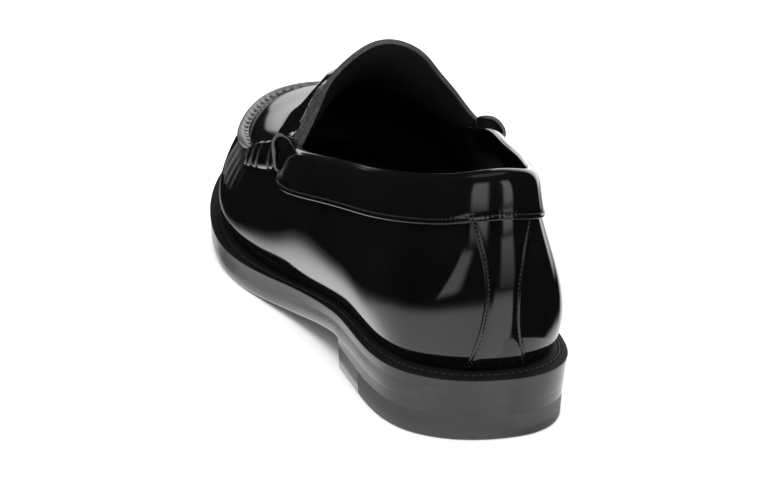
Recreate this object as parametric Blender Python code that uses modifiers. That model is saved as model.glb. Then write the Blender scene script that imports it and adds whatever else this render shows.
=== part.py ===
"""Left loafer with rolled strap ends, as an assembly of the pieces that a maker puts together.

Sizes are in millimetres and become metres where a mesh is made. In the shoe's own frame x points to
the wearer's right, so the lateral side of this left shoe is negative, y runs forward from the back of
the heel and z is height above the floor. The root empty moves the shoe to the middle of its box.
"""

from collections import namedtuple
import math

import bpy
import numpy as np

MM = 0.001
GAP = 0.3  # between pieces that meet
SMOOTH_ANGLE = math.radians(35)

# Sole and heel
LENGTH = 287.0  # outsole, heel to toe
TOE_X = 5.0  # the toe's tip lies this far to the medial side of the heel's axis
OUTSOLE_THICK = 5.2
OUTSOLE_BEVEL = 0.8  # along the edge of the tread
WELT_THICK = 3.4
WELT_INSIDE = 13.0  # the welt's inner edge, measured in from the sole's edge
WELT_RISE = 1.5  # the welt climbs this much from its rim to the upper
RIM_BEVEL = 0.5  # where welt and outsole meet, and on the welt's rim
INSOLE_THICK = 3.0
INSOLE_CLEAR = 0.7  # between the insole and the upper's wall
HEEL_LENGTH = 76.0
HEEL_TAPER = 0.8  # the heel's foot is this much smaller all round
LIFT_THICK = 8.4
LIFT_BEVEL = 0.6
LIFT_SPLIT_Y = 50.0  # rubber behind, leather corner in front
END_FLAT = 1.0  # half of the short flat where the two sides of a sole layer meet
SOLE_ROWS = 44
HEEL_ROWS = 20
CORNER_ROWS = 5

# Upper and what is sewn to it
WALL = 2.0  # upper and lining together
AROUND_STEPS = 88
UP_STEPS = 11
BAND_THICK = 1.2
BAND_GAP = 0.45
BAND_WIDTH = 15.5
BAND_FRONT_Y = 142.0
BAND_ROWS = 4
STRIP_THICK = 0.9
STRIP_START = 0.015  # share of the rib below the strip's foot
STRIP_ROWS = 8
STRIP_COLUMNS = 5
TONGUE_THICK = 2.0
TONGUE_GAP = 0.8
TONGUE_START_Y = 148.0
TONGUE_ROWS = 6
TONGUE_COLUMNS = 37
STRAP_THICK = 1.9
STRAP_GAP = 0.5
STRAP_ROWS = 5
STRAP_COLUMNS = 45
SEAM_HALF = 2.4
SEAM_HIGH = 1.9
SEAM_GAP = 0.5
SEAM_STEPS = 56
SEAM_SECTION = [(-1, 0), (-0.8, 0.6), (-0.3, 1), (0.3, 1), (0.8, 0.6), (1, 0)]  # shares of half and high

Outline = namedtuple("Outline", "y lateral medial")  # half-widths of the outsole
OUTLINE = [
    Outline(3.0, 15.5, 14.8),
    Outline(14.0, 28.2, 26.6),
    Outline(30.0, 33.8, 31.8),
    Outline(48.0, 35.2, 33.0),
    Outline(76.0, 35.3, 32.0),
    Outline(106.0, 37.3, 31.2),
    Outline(133.0, 41.6, 34.6),
    Outline(158.0, 47.6, 41.2),
    Outline(180.0, 51.0, 47.0),
    Outline(204.0, 50.2, 49.8),
    Outline(228.0, 45.8, 48.2),
    Outline(250.0, 38.2, 42.8),
    Outline(268.0, 28.0, 34.6),
    Outline(281.0, 14.6, 22.6),
]

Level = namedtuple("Level", "y z")  # height of the welt's rim: heel, arch, ball and toe spring
RIM = [
    Level(-20.0, 21.5),
    Level(0.0, 21.4),
    Level(36.0, 21.2),
    Level(73.0, 20.2),
    Level(95.0, 17.4),
    Level(120.0, 13.2),
    Level(145.0, 10.1),
    Level(166.0, 8.9),
    Level(182.0, 8.7),
    Level(200.0, 8.9),
    Level(222.0, 10.3),
    Level(248.0, 12.8),
    Level(270.0, 15.4),
    Level(287.0, 17.6),
    Level(310.0, 21.0),
]

# One row for each rib of the upper. The rib is a cubic curve from the welt to the upper's top edge:
# base_y is where it starts on the outline, welt how far in from the sole's edge, out and up give the
# bulge above the welt, top_* is its end on the topline or the throat, and run_* is the way it leaves.
Rib = namedtuple("Rib", "base_y welt out up top_x top_y top_z run_x run_y run_z")
HEEL_RIB = Rib(0.0, 6.0, 10.5, 22.0, 0.0, 8.0, 90.0, 0.0, -6.0, -20.0)
TOE_RIB = Rib(287.0, 7.0, 8.0, 29.0, 0.0, 184.5, 72.3, 0.0, 34.0, -15.5)
LATERAL_RIBS = [
    Rib(8.0, 5.8, 10.0, 22.0, 15.0, 13.0, 87.6, 0.5, -5.0, -20.0),
    Rib(36.0, 4.0, 9.0, 22.0, 27.6, 38.0, 81.4, 2.0, -1.0, -20.0),
    Rib(68.0, 3.0, 8.5, 21.0, 31.0, 67.0, 75.0, 3.5, 0.0, -20.0),
    Rib(100.0, 3.0, 8.0, 19.0, 34.5, 99.0, 68.3, 4.5, 0.0, -18.0),
    Rib(126.0, 4.0, 8.0, 17.0, 37.2, 126.0, 62.8, 5.5, 0.0, -16.0),
    Rib(150.0, 5.5, 8.0, 17.0, 34.0, 146.0, 60.0, 7.0, 2.0, -11.0),
    Rib(178.0, 6.5, 9.5, 18.0, 26.0, 160.0, 62.2, 13.0, 8.0, -10.0),
    Rib(212.0, 6.8, 10.0, 22.0, 16.0, 175.0, 67.2, 18.0, 20.0, -14.0),
    Rib(252.0, 7.0, 9.0, 27.0, 7.0, 182.5, 71.2, 14.0, 31.0, -15.0),
]
MEDIAL_RIBS = [
    Rib(8.0, 5.8, 10.0, 22.0, 12.0, 12.5, 88.0, 0.5, -5.0, -20.0),
    Rib(36.0, 4.0, 9.5, 19.0, 20.4, 38.0, 81.6, -0.5, -1.0, -22.0),
    Rib(68.0, 3.0, 7.0, 20.0, 26.8, 67.0, 75.7, 1.5, 0.0, -21.0),
    Rib(98.0, 2.5, 6.0, 19.0, 30.8, 99.0, 71.0, 3.5, 0.0, -18.0),
    Rib(124.0, 3.0, 6.5, 17.0, 34.4, 126.0, 67.0, 4.5, 0.0, -16.0),
    Rib(150.0, 5.0, 7.0, 17.0, 32.4, 146.0, 63.5, 7.0, 2.0, -11.0),
    Rib(178.0, 6.2, 9.0, 18.0, 25.0, 160.0, 64.0, 13.0, 8.0, -10.0),
    Rib(212.0, 6.8, 10.0, 22.0, 15.5, 175.0, 68.0, 18.0, 20.0, -14.0),
    Rib(254.0, 7.0, 9.0, 27.0, 7.0, 182.5, 71.2, 14.0, 31.0, -15.0),
]

Edge = namedtuple("Edge", "x y z")  # the tongue's free edge
TONGUE_EDGE = [
    Edge(-31.8, 134.5, 66.5),
    Edge(-26.0, 141.5, 74.0),
    Edge(-20.0, 146.0, 80.5),
    Edge(-13.0, 147.0, 89.8),
    Edge(-6.5, 147.0, 94.2),
    Edge(0.0, 147.0, 95.5),
    Edge(6.5, 146.5, 94.5),
    Edge(12.5, 145.5, 90.8),
    Edge(20.0, 144.5, 81.0),
    Edge(26.0, 142.0, 74.5),
    Edge(29.8, 136.5, 70.4),
]

Seam = namedtuple("Seam", "base_y rise")  # the apron seam's distance up the rib from the welt
SEAM = [Seam(191.0, 31.0), Seam(212.0, 33.0), Seam(250.0, 36.5), Seam(287.0, 38.5)]

Strap = namedtuple("Strap", "base_y drop")  # the strap's depth down the rib from the throat
STRAP = [
    Strap(154.0, 4.0),
    Strap(165.0, 9.0),
    Strap(178.0, 12.5),
    Strap(212.0, 16.0),
    Strap(287.0, 18.0),
]

Strip = namedtuple("Strip", "z half")  # half-width of the strip down the back of the heel
BACK_STRIP = [
    Strip(22.0, 12.6),
    Strip(34.0, 9.2),
    Strip(48.0, 7.2),
    Strip(60.0, 8.8),
    Strip(76.0, 12.2),
]

Roll = namedtuple("Roll", "along half high")  # rolled strap end, from its open end at the back to its tip
ROLL = [
    Roll(0.0, 8.4, 7.6),
    Roll(2.5, 7.5, 6.5),
    Roll(6.0, 6.6, 5.7),
    Roll(14.0, 5.6, 5.2),
    Roll(24.0, 4.8, 4.6),
    Roll(34.0, 3.8, 3.6),
    Roll(40.0, 2.4, 2.2),
]
ROLL_START_Y = {-1: 147.0, 1: 145.0}  # lateral and medial
ROLL_RISE = {-1: (44.8, 33.0), 1: (47.0, 34.0)}  # up the rib from the welt, at its open end and its tip
ROLL_WALL = 1.5
ROLL_GAP = 0.45
ROLL_WRAPS = 5
ROLL_WRAPS_FROM = 9.0
ROLL_WRAPS_TO = 38.0
ROLL_DIP = 0.84  # share of the girth left between two wraps
ROLL_BORE = 9.0  # depth of the hollow in the open end
ROLL_BORE_SHARE = 0.45  # of the girth, at the hollow's bottom
ROLL_TIP_SHARE = 0.8
ROLL_SIDES = 14

Finish = namedtuple("Finish", "colour roughness")
LEATHER = Finish((0.012, 0.012, 0.013), 0.12)
SOLE_EDGE = Finish((0.06, 0.06, 0.062), 0.4)
RUBBER = Finish((0.045, 0.045, 0.046), 0.6)
LINING = Finish((0.02, 0.02, 0.02), 0.7)

SIDE_STEPS = 2001  # places along one side of the outline where round_at looks
RIB_STEPS = 201
SLOPE_STEP = 0.2  # round the sole, where a direction is measured
SLOPE_SHARE = 0.01  # of a rib, where a direction is measured


def spline(knots, values, at, period=None):
    """Cubic spline through rows of values: natural at its ends, or closed when it has a period."""
    t = np.asarray(knots, float)
    v = np.asarray(values, float)
    at = np.asarray(at, float)
    single = v.ndim == 1
    v = v.reshape(len(v), -1)
    if period:
        t = np.append(t, t[0] + period)
        v = np.vstack([v, v[:1]])
        at = t[0] + np.mod(at - t[0], period)
    n = len(t)
    h = np.diff(t)
    slope = np.diff(v, axis=0) / h[:, None]
    system = np.zeros((n, n))
    right = np.zeros(v.shape)
    for i in range(1, n - 1):
        system[i, i - 1 : i + 2] = h[i - 1], 2 * (h[i - 1] + h[i]), h[i]
        right[i] = 6 * (slope[i] - slope[i - 1])
    if period:
        system[0, 0], system[0, -1] = 1, -1
        system[-1, 0], system[-1, 1] = 2 * h[0], h[0]
        system[-1, -1], system[-1, -2] = 2 * h[-1], h[-1]
        right[-1] = 6 * (slope[0] - slope[-1])
    else:
        system[0, 0] = system[-1, -1] = 1
    bend = np.linalg.solve(system, right)
    i = np.clip(np.searchsorted(t, at, side="right") - 1, 0, n - 2)
    d = (at - t[i])[..., None]
    width = h[i][..., None]
    start = slope[i] - width * (2 * bend[i] + bend[i + 1]) / 6
    result = v[i] + d * start + d**2 * bend[i] / 2 + d**3 * (bend[i + 1] - bend[i]) / (6 * width)
    return result[..., 0] if single else result


def table(rows):
    return np.array(rows, float)


def unit(vectors):
    return vectors / np.linalg.norm(vectors, axis=-1, keepdims=True)


def outline_loop():
    """Points of the sole's edge, from the heel's back round the lateral side, and their distances."""
    rows = table(OUTLINE)
    lateral = np.column_stack([-rows[:, 1], rows[:, 0]])
    medial = np.column_stack([rows[:, 2], rows[:, 0]])[::-1]
    points = np.vstack([[(0, 0)], lateral, [(TOE_X, LENGTH)], medial])
    steps = np.linalg.norm(np.roll(points, -1, axis=0) - points, axis=1)
    return points, np.cumsum(steps) - steps, steps.sum()


LOOP, LOOP_AT, ROUND = outline_loop()
TOE_S = LOOP_AT[len(OUTLINE) + 1]


def outline(s):
    """Plan point and outward normal of the sole's edge at distance s round it."""
    s = np.asarray(s, float)
    ahead = spline(LOOP_AT, LOOP, s + SLOPE_STEP, ROUND)
    behind = spline(LOOP_AT, LOOP, s - SLOPE_STEP, ROUND)
    along = unit(ahead - behind)
    return spline(LOOP_AT, LOOP, s, ROUND), np.stack([-along[..., 1], along[..., 0]], -1)


def round_at(y, side):
    """Distance round the outline where its lateral (-1) or medial (1) side reaches y."""
    s = np.linspace(0 if side < 0 else ROUND, TOE_S, SIDE_STEPS)
    return np.interp(y, outline(s)[0][:, 1], s)


def rim_z(y):
    rows = table(RIM)
    return spline(rows[:, 0], rows[:, 1], y)


def rib_rows():
    """Each rib's columns behind its distance round the sole, in order from the heel's back."""
    rows = [(0.0, *HEEL_RIB[1:])]
    for rib in LATERAL_RIBS:
        turned = rib._replace(top_x=-rib.top_x, run_x=-rib.run_x)
        rows.append((round_at(rib.base_y, -1), *turned[1:]))
    rows.append((TOE_S, *TOE_RIB[1:]))
    for rib in reversed(MEDIAL_RIBS):
        rows.append((round_at(rib.base_y, 1), *rib[1:]))
    return table(rows)


RIB_ROWS = rib_rows()


def welt_width(s):
    return spline(RIB_ROWS[:, 0], RIB_ROWS[:, 1], s, ROUND)


def upper(s, v):
    """Outer face of the upper at distance s round the sole and v up the rib, from 0 to 1."""
    s, v = np.broadcast_arrays(np.asarray(s, float), np.asarray(v, float))
    row = spline(RIB_ROWS[:, 0], RIB_ROWS[:, 1:], s, ROUND)
    edge, normal = outline(s)
    plan = edge - normal * row[..., 0:1]
    low = rim_z(plan[..., 1])[..., None] + WELT_RISE
    base = np.concatenate([plan, low], -1)
    bulge = np.concatenate([plan + normal * row[..., 1:2], low + row[..., 2:3]], -1)
    top = row[..., 3:6]
    handle = top + row[..., 6:9]
    t = v[..., None]
    w = 1 - t
    return w**3 * base + 3 * w**2 * t * bulge + 3 * w * t**2 * handle + t**3 * top


def frame_at(s, v):
    """Point of the upper, its outward normal and the unit direction up the rib."""
    up = upper(s, np.minimum(v + SLOPE_SHARE, 1)) - upper(s, np.maximum(v - SLOPE_SHARE, 0))
    along = upper(s + SLOPE_STEP, v) - upper(s - SLOPE_STEP, v)
    return upper(s, v), unit(np.cross(up, along)), unit(up)


def lifted(s, v, height):
    """Points at a height above the upper's outer face."""
    point, normal, _ = frame_at(s, v)
    return point + normal * height


def rib_lengths(s):
    """Shares of the rib at s, and its length from the welt up to each."""
    v = np.linspace(0, 1, RIB_STEPS)
    steps = np.linalg.norm(np.diff(upper(s, v), axis=0), axis=1)
    return v, np.concatenate([[0], np.cumsum(steps)])


def v_at_rise(s, rise):
    """Where the rib at s has run a given length up from the welt."""
    v, length = rib_lengths(s)
    return float(np.interp(rise, length, v))


def v_below_top(s, drop):
    """Where the rib at s is a given length short of its top."""
    v, length = rib_lengths(s)
    return float(np.interp(length[-1] - drop, length, v))


class Shoe:
    """The collection and the root empty that every piece joins."""

    def __init__(self):
        for old in list(bpy.data.objects):
            bpy.data.objects.remove(old, do_unlink=True)
        self.parts = bpy.data.collections.new("loafer")
        bpy.context.scene.collection.children.link(self.parts)
        self.root = bpy.data.objects.new("loafer_root", None)
        edge = outline(np.linspace(0, ROUND, SIDE_STEPS))[0]
        middle = (edge[:, 0].min() + edge[:, 0].max()) / 2
        back = upper(0.0, np.linspace(0, 1, RIB_STEPS))[:, 1].min() - BAND_GAP - STRIP_THICK
        self.root.location = (-middle * MM, -(min(back, 0) + LENGTH) / 2 * MM, 0)
        self.parts.objects.link(self.root)

    def add_mesh(self, name, points, faces, finish):
        mesh = bpy.data.meshes.new(name)
        mesh.from_pydata((np.asarray(points).reshape(-1, 3) * MM).tolist(), [], faces)
        mesh.materials.append(material(name, finish))
        mesh.shade_smooth()
        made = bpy.data.objects.new(name, mesh)
        made.parent = self.root
        self.parts.objects.link(made)
        return made

    def add_shell(self, name, grid, thickness, finish, closed=False):
        """A leather piece: rows of points on its outer face, thickened inward by Solidify."""
        grid = np.asarray(grid)
        made = self.add_mesh(name, grid, grid_faces(*grid.shape[:2], False, closed), finish)
        wall = made.modifiers.new("wall", "SOLIDIFY")
        wall.thickness = thickness * MM
        wall.offset = -1
        wall.use_quality_normals = True

    def add_loft(self, name, rings, finish, joined=False):
        """A solid through closed rings of points, capped at both ends or joined end to end."""
        rings = np.asarray(rings)
        count = rings.shape[1]
        faces = grid_faces(len(rings), count, joined, True)
        if not joined:
            faces += cap_faces(0, count) + cap_faces((len(rings) - 1) * count, count)
        made = self.add_mesh(name, rings, faces, finish)
        face_outward(made)
        made.data.set_sharp_from_angle(angle=SMOOTH_ANGLE)


def grid_faces(rows, columns, closed_rows, closed_columns):
    """Quads between the rows of a grid of points, which may run all the way round either way."""
    faces = []
    for i in range(rows if closed_rows else rows - 1):
        low, high = i * columns, (i + 1) % rows * columns
        for j in range(columns if closed_columns else columns - 1):
            k = (j + 1) % columns
            faces.append((low + j, high + j, high + k, low + k))
    return faces


def cap_faces(first, count):
    """Strips across a ring whose point i lies opposite point -1 - i."""
    last = first + count - 1
    return [(first + i, first + i + 1, last - i - 1, last - i) for i in range(count // 2 - 1)]


def face_outward(made):
    bpy.ops.object.select_all(action="DESELECT")
    bpy.context.view_layer.objects.active = made
    made.select_set(True)
    bpy.ops.object.mode_set(mode="EDIT")
    bpy.ops.mesh.select_all(action="SELECT")
    bpy.ops.mesh.normals_make_consistent(inside=False)
    bpy.ops.object.mode_set(mode="OBJECT")


def material(name, finish):
    made = bpy.data.materials.new(name)
    made.use_nodes = True
    shader = made.node_tree.nodes["Principled BSDF"]
    shader.inputs["Base Color"].default_value = (*finish.colour, 1)
    shader.inputs["Roughness"].default_value = finish.roughness
    shader.inputs["Metallic"].default_value = 0
    return made


def paired_rounds(first_y, last_y, rows):
    """Distances round the sole for a ring whose lateral points lie across from medial ones."""
    start = max(round_at(first_y, -1), END_FLAT)
    end = min(round_at(last_y, -1), TOE_S - END_FLAT)
    lateral = np.linspace(start, end, rows)
    medial = round_at(outline(lateral)[0][:, 1], 1)
    return np.concatenate([lateral, medial[::-1]])


def front_rounds(base_y, count):
    """Distances round the front of the shoe, between two stations of the same y."""
    return np.linspace(round_at(base_y, -1), round_at(base_y, 1), count)


def by_station(rows, s):
    """A table's second column at each s, read by the y of the outline there."""
    rows = table(rows)
    return spline(rows[:, 0], rows[:, 1], outline(s)[0][:, 1])


def plan_ring(s, inset, height):
    """The sole's outline moved in, at one height or at a height for each y."""
    edge, normal = outline(s)
    plan = edge - normal * np.broadcast_to(inset, len(s))[:, None]
    z = height(plan[:, 1]) if callable(height) else np.full(len(s), height)
    return np.column_stack([plan, z])


def raised(height, by):
    return lambda y: height(y) + by


def sole_low(y):
    """Underside of the outsole, with a true flat under the ball."""
    return np.maximum(rim_z(y) - WELT_THICK - GAP - OUTSOLE_THICK, 0)


def make_outsole(shoe):
    s = paired_rounds(0, LENGTH, SOLE_ROWS)
    top = raised(rim_z, -WELT_THICK - GAP)
    levels = [
        (OUTSOLE_BEVEL, sole_low),
        (0, raised(sole_low, OUTSOLE_BEVEL)),
        (0, raised(top, -RIM_BEVEL)),
        (RIM_BEVEL, top),
    ]
    shoe.add_loft("outsole", [plan_ring(s, *level) for level in levels], SOLE_EDGE)


def make_welt(shoe):
    s = paired_rounds(0, LENGTH, SOLE_ROWS)
    low = raised(rim_z, -WELT_THICK)
    seat = raised(rim_z, WELT_RISE - GAP)
    levels = [
        (WELT_INSIDE, low),
        (RIM_BEVEL, low),
        (0, raised(low, RIM_BEVEL)),
        (0, raised(rim_z, -RIM_BEVEL)),
        (RIM_BEVEL, rim_z),
        (welt_width(s) - RIM_BEVEL, seat),
        (WELT_INSIDE, seat),
    ]
    shoe.add_loft("welt", [plan_ring(s, *level) for level in levels], SOLE_EDGE, joined=True)


def make_insole(shoe):
    s = paired_rounds(0, LENGTH, SOLE_ROWS)
    bottom = raised(rim_z, -WELT_THICK)
    seat = raised(rim_z, WELT_RISE)
    inside = welt_width(s) + WALL + INSOLE_CLEAR
    levels = [
        (WELT_INSIDE + GAP, bottom),
        (WELT_INSIDE + GAP, seat),
        (inside, seat),
        (inside, raised(seat, INSOLE_THICK)),
    ]
    shoe.add_loft("insole", [plan_ring(s, *level) for level in levels], LINING)


def make_heel(shoe):
    whole = paired_rounds(0, HEEL_LENGTH, HEEL_ROWS)
    under = raised(sole_low, -GAP)
    stack = [plan_ring(whole, HEEL_TAPER / 2, LIFT_THICK + GAP), plan_ring(whole, 0, under)]
    shoe.add_loft("heel_stack", stack, SOLE_EDGE)
    rear = paired_rounds(0, LIFT_SPLIT_Y, HEEL_ROWS)
    front = paired_rounds(LIFT_SPLIT_Y + GAP, HEEL_LENGTH, CORNER_ROWS)
    levels = [(HEEL_TAPER + LIFT_BEVEL, 0), (HEEL_TAPER, LIFT_BEVEL), (HEEL_TAPER / 2, LIFT_THICK)]
    shoe.add_loft("top_lift", [plan_ring(rear, *level) for level in levels], RUBBER)
    shoe.add_loft("top_lift_front", [plan_ring(front, *level) for level in levels], SOLE_EDGE)


def make_upper(shoe):
    s = np.linspace(0, ROUND, AROUND_STEPS, endpoint=False)
    rows = [upper(s, v) for v in np.linspace(0, 1, UP_STEPS + 1)]
    shoe.add_shell("upper", rows, WALL, LEATHER, closed=True)


def sewn_rows(s, low, high, height, count):
    """Rows of a piece that lies on the upper between two shares of its ribs."""
    return [lifted(s, low + (high - low) * share, height) for share in np.linspace(0, 1, count)]


def make_collar_band(shoe):
    step = ROUND / AROUND_STEPS
    front = round_at(BAND_FRONT_Y, -1)
    back = round_at(BAND_FRONT_Y, 1) - ROUND
    s = np.arange(np.ceil(back / step), np.floor(front / step) + 1) * step
    low = np.array([v_below_top(x, BAND_WIDTH) for x in s])
    high = np.array([v_below_top(x, GAP) for x in s])
    rows = sewn_rows(s, low, high, BAND_GAP + BAND_THICK, BAND_ROWS)
    shoe.add_shell("collar_band", rows, BAND_THICK, LEATHER)


def make_back_strip(shoe):
    shape = table(BACK_STRIP)
    drop = BAND_WIDTH + 2 * GAP
    top = v_below_top(0, drop)
    rows = []
    for v in np.linspace(STRIP_START, top, STRIP_ROWS):
        half = spline(shape[:, 0], shape[:, 1], upper(0, v)[2])
        s = np.linspace(-half, half, STRIP_COLUMNS)
        limit = np.array([v_below_top(x, drop) for x in s])
        rows.append(lifted(s, v * limit / top, BAND_GAP + STRIP_THICK))
    shoe.add_shell("back_strip", rows, STRIP_THICK, LEATHER)


def make_apron_seam(shoe):
    """The raised seam round the apron, as a low ridge that follows the upper."""
    s = front_rounds(SEAM[0].base_y, SEAM_STEPS)
    v = np.array([v_at_rise(x, rise) for x, rise in zip(s, by_station(SEAM, s))])
    point, normal, up = frame_at(s, v)
    columns = []
    for across, high in SEAM_SECTION:
        columns.append(point + up * SEAM_HALF * across + normal * (SEAM_GAP + SEAM_HIGH * high))
    shoe.add_loft("apron_seam", np.swapaxes(columns, 0, 1), LEATHER)


def make_strap(shoe):
    """The saddle strap over the instep, from roll to roll along the throat."""
    s = front_rounds(STRAP[0].base_y, STRAP_COLUMNS)
    low = np.array([v_below_top(x, drop) for x, drop in zip(s, by_station(STRAP, s))])
    high = np.array([v_below_top(x, GAP) for x in s])
    rows = sewn_rows(s, low, high, STRAP_GAP + STRAP_THICK, STRAP_ROWS)
    shoe.add_shell("saddle_strap", rows, STRAP_THICK, LEATHER)


def make_tongue(shoe):
    """The tongue carries the apron's surface on, up and back from the throat to its free edge."""
    s = front_rounds(TONGUE_START_Y, TONGUE_COLUMNS)
    corners = table(TONGUE_EDGE)
    steps = np.linalg.norm(np.diff(corners, axis=0), axis=1)
    at = np.concatenate([[0], np.cumsum(steps)])
    edge = spline(at, corners, np.linspace(0, at[-1], len(s)))
    throat = upper(s, 1.0)
    start = throat + unit(edge - throat) * TONGUE_GAP
    rows = [start + (edge - start) * share for share in np.linspace(0, 1, TONGUE_ROWS)]
    shoe.add_shell("tongue", rows, TONGUE_THICK, LEATHER)


def make_roll(shoe, name, side):
    """A rolled strap end: tapered, ribbed by its thread, hollow where it opens to the heel."""
    shape = table(ROLL)
    length = shape[-1, 0]
    start, tip = ROLL_RISE[side]
    angle = (np.arange(ROLL_SIDES) + 0.5) / ROLL_SIDES * 2 * np.pi

    def ring(along, share):
        s = round_at(ROLL_START_Y[side], side) - side * along
        point, normal, up = frame_at(s, v_at_rise(s, start + (tip - start) * along / length))
        half, high = spline(shape[:, 0], shape[:, 1:], along)
        across = np.cos(angle)[:, None] * up * half * share
        return point + across + normal * (ROLL_GAP + high / 2 * (1 + np.sin(angle)[:, None] * share))

    mouth = 1 - 2 * ROLL_WALL / ROLL[0].high
    wraps = np.linspace(ROLL_WRAPS_FROM, ROLL_WRAPS_TO, 2 * ROLL_WRAPS + 1)
    rings = [ring(ROLL_BORE, ROLL_BORE_SHARE), ring(0, mouth), ring(0, 1), ring(ROLL_WRAPS_FROM / 2, 1)]
    rings += [ring(along, ROLL_DIP if i % 2 else 1) for i, along in enumerate(wraps)]
    rings += [ring(length, ROLL_TIP_SHARE)]
    shoe.add_loft(name, rings, LEATHER)


def main():
    shoe = Shoe()
    make_outsole(shoe)
    make_welt(shoe)
    make_insole(shoe)
    make_heel(shoe)
    make_upper(shoe)
    make_tongue(shoe)
    make_strap(shoe)
    make_apron_seam(shoe)
    make_collar_band(shoe)
    make_back_strip(shoe)
    make_roll(shoe, "roll_lateral", -1)
    make_roll(shoe, "roll_medial", 1)


main()
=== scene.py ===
import math

import bpy
import numpy as np
from mathutils import Matrix, Quaternion, Vector


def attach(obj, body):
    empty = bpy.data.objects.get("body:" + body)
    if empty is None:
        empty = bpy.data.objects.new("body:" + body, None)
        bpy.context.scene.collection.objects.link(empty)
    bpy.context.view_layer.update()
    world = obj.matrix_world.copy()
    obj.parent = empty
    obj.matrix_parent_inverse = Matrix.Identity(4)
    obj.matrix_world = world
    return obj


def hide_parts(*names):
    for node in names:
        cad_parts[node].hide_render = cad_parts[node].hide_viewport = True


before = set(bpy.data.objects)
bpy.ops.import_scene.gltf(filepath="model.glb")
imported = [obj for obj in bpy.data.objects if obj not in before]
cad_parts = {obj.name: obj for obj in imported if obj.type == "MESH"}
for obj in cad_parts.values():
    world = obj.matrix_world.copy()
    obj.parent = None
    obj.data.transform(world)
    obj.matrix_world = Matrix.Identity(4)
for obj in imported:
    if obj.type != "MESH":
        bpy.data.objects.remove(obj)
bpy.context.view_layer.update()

mm = 0.001
print("frame loaded:", len(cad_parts), "nodes")

# The last in mm: x to the medial side, y forward from the back of the heel, z up from the floor
last = {
    "root": (0.694, -143.042, 0.0),
    "length": 287.0,
    "toeX": 5.0,
    "weltRise": 1.5,  # from the welt's rim to the upper
    # y, then the sole's half-width on the lateral and on the medial side
    "outline": [
        (3, 15.5, 14.8), (14, 28.2, 26.6), (30, 33.8, 31.8), (48, 35.2, 33),
        (76, 35.3, 32), (106, 37.3, 31.2), (133, 41.6, 34.6), (158, 47.6, 41.2),
        (180, 51, 47), (204, 50.2, 49.8), (228, 45.8, 48.2), (250, 38.2, 42.8),
        (268, 28, 34.6), (281, 14.6, 22.6),
    ],
    # y and height of the welt's rim
    "rim": [
        (-20, 21.5), (0, 21.4), (36, 21.2), (73, 20.2), (95, 17.4), (120, 13.2),
        (145, 10.1), (166, 8.9), (182, 8.7), (200, 8.9), (222, 10.3), (248, 12.8),
        (270, 15.4), (287, 17.6), (310, 21),
    ],
    # ribs: base y, welt width, bulge out and up, top x y z, and the way the rib leaves its top
    "heelRib": (0.0, 6.0, 10.5, 22.0, 0.0, 8.0, 90.0, 0.0, -6.0, -20.0),
    "toeRib": (287.0, 7.0, 8.0, 29.0, 0.0, 184.5, 72.3, 0.0, 34.0, -15.5),
    "lateralRibs": [
        (8, 5.8, 10, 22, 15, 13, 87.6, 0.5, -5, -20),
        (36, 4, 9, 22, 27.6, 38, 81.4, 2, -1, -20),
        (68, 3, 8.5, 21, 31, 67, 75, 3.5, 0, -20),
        (100, 3, 8, 19, 34.5, 99, 68.3, 4.5, 0, -18),
        (126, 4, 8, 17, 37.2, 126, 62.8, 5.5, 0, -16),
        (150, 5.5, 8, 17, 34, 146, 60, 7, 2, -11),
        (178, 6.5, 9.5, 18, 26, 160, 62.2, 13, 8, -10),
        (212, 6.8, 10, 22, 16, 175, 67.2, 18, 20, -14),
        (252, 7, 9, 27, 7, 182.5, 71.2, 14, 31, -15),
    ],
    "medialRibs": [
        (8, 5.8, 10, 22, 12, 12.5, 88, 0.5, -5, -20),
        (36, 4, 9.5, 19, 20.4, 38, 81.6, -0.5, -1, -22),
        (68, 3, 7, 20, 26.8, 67, 75.7, 1.5, 0, -21),
        (98, 2.5, 6, 19, 30.8, 99, 71, 3.5, 0, -18),
        (124, 3, 6.5, 17, 34.4, 126, 67, 4.5, 0, -16),
        (150, 5, 7, 17, 32.4, 146, 63.5, 7, 2, -11),
        (178, 6.2, 9, 18, 25, 160, 64, 13, 8, -10),
        (212, 6.8, 10, 22, 15.5, 175, 68, 18, 20, -14),
        (254, 7, 9, 27, 7, 182.5, 71.2, 14, 31, -15),
    ],
}
root = np.array(last["root"])


# Cubic spline through rows of values, closed when it has a period
def spline(knots, values, at, period=None):
    t = np.asarray(knots, float)
    v = np.asarray(values, float)
    at = np.asarray(at, float)
    single = v.ndim == 1
    v = v.reshape(len(v), -1)
    if period:
        t = np.append(t, t[0] + period)
        v = np.vstack([v, v[:1]])
        at = t[0] + np.mod(at - t[0], period)
    n = len(t)
    h = np.diff(t)
    slope = np.diff(v, axis=0) / h[:, None]
    system = np.zeros((n, n))
    right = np.zeros(v.shape)
    for i in range(1, n - 1):
        system[i, i - 1 : i + 2] = h[i - 1], 2 * (h[i - 1] + h[i]), h[i]
        right[i] = 6 * (slope[i] - slope[i - 1])
    if period:
        system[0, 0], system[0, -1] = 1, -1
        system[-1, 0], system[-1, 1] = 2 * h[0], h[0]
        system[-1, -1], system[-1, -2] = 2 * h[-1], h[-1]
        right[-1] = 6 * (slope[0] - slope[-1])
    else:
        system[0, 0] = system[-1, -1] = 1
    bend = np.linalg.solve(system, right)
    i = np.clip(np.searchsorted(t, at, side="right") - 1, 0, n - 2)
    d = (at - t[i])[..., None]
    width = h[i][..., None]
    start = slope[i] - width * (2 * bend[i] + bend[i + 1]) / 6
    result = v[i] + d * start + d**2 * bend[i] / 2 + d**3 * (bend[i + 1] - bend[i]) / (6 * width)
    return result[..., 0] if single else result


def through(rows, at):
    rows = np.array(rows, float)
    return spline(rows[:, 0], rows[:, 1] if rows.shape[1] == 2 else rows[:, 1:], at)


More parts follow.
